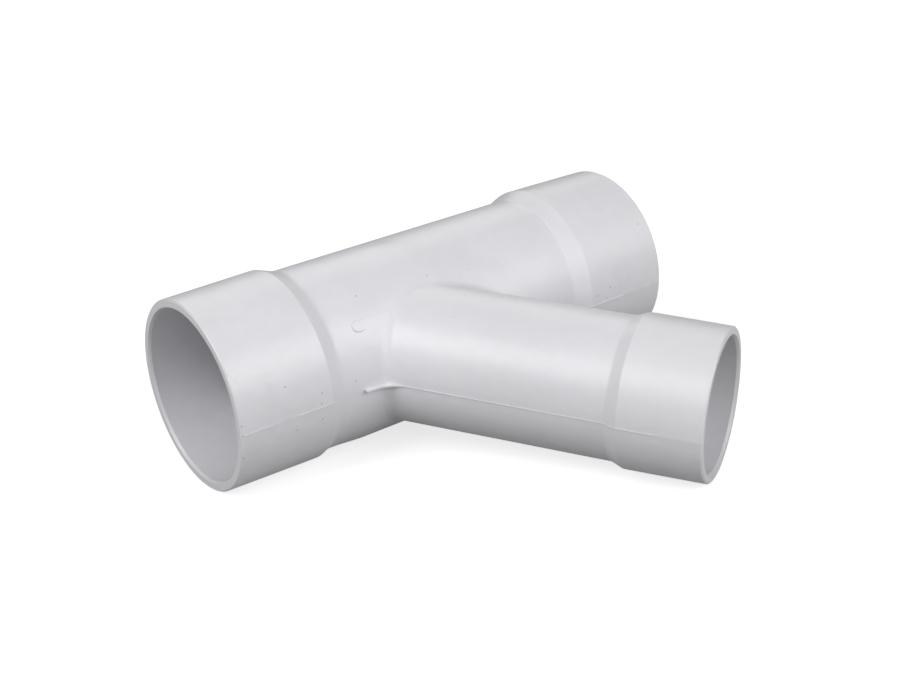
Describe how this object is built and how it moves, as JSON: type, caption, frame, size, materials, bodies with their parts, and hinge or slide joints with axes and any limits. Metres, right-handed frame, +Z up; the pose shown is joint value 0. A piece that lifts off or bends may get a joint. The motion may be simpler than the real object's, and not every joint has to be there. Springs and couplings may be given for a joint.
{
  "type": "lateral wye fitting",
  "caption": "Moulded plastic lateral wye with plain tube sockets on a straight run and a smaller branch leaving it at a slant.",
  "frame": {"origin": "on the floor under the middle of the fitting's bounding box", "axes": "+X along the run axis from inlet to outlet, branch leaving towards -Y, +Z up as the fitting lies at rest"},
  "size_m": [0.153, 0.136, 0.0573],
  "materials": {
    "moulded_plastic": "satin as moulded, pale lavender grey"
  },
  "bodies": {
    "root": {"wye_body": "moulded_plastic"}
  },
  "joints": []
}
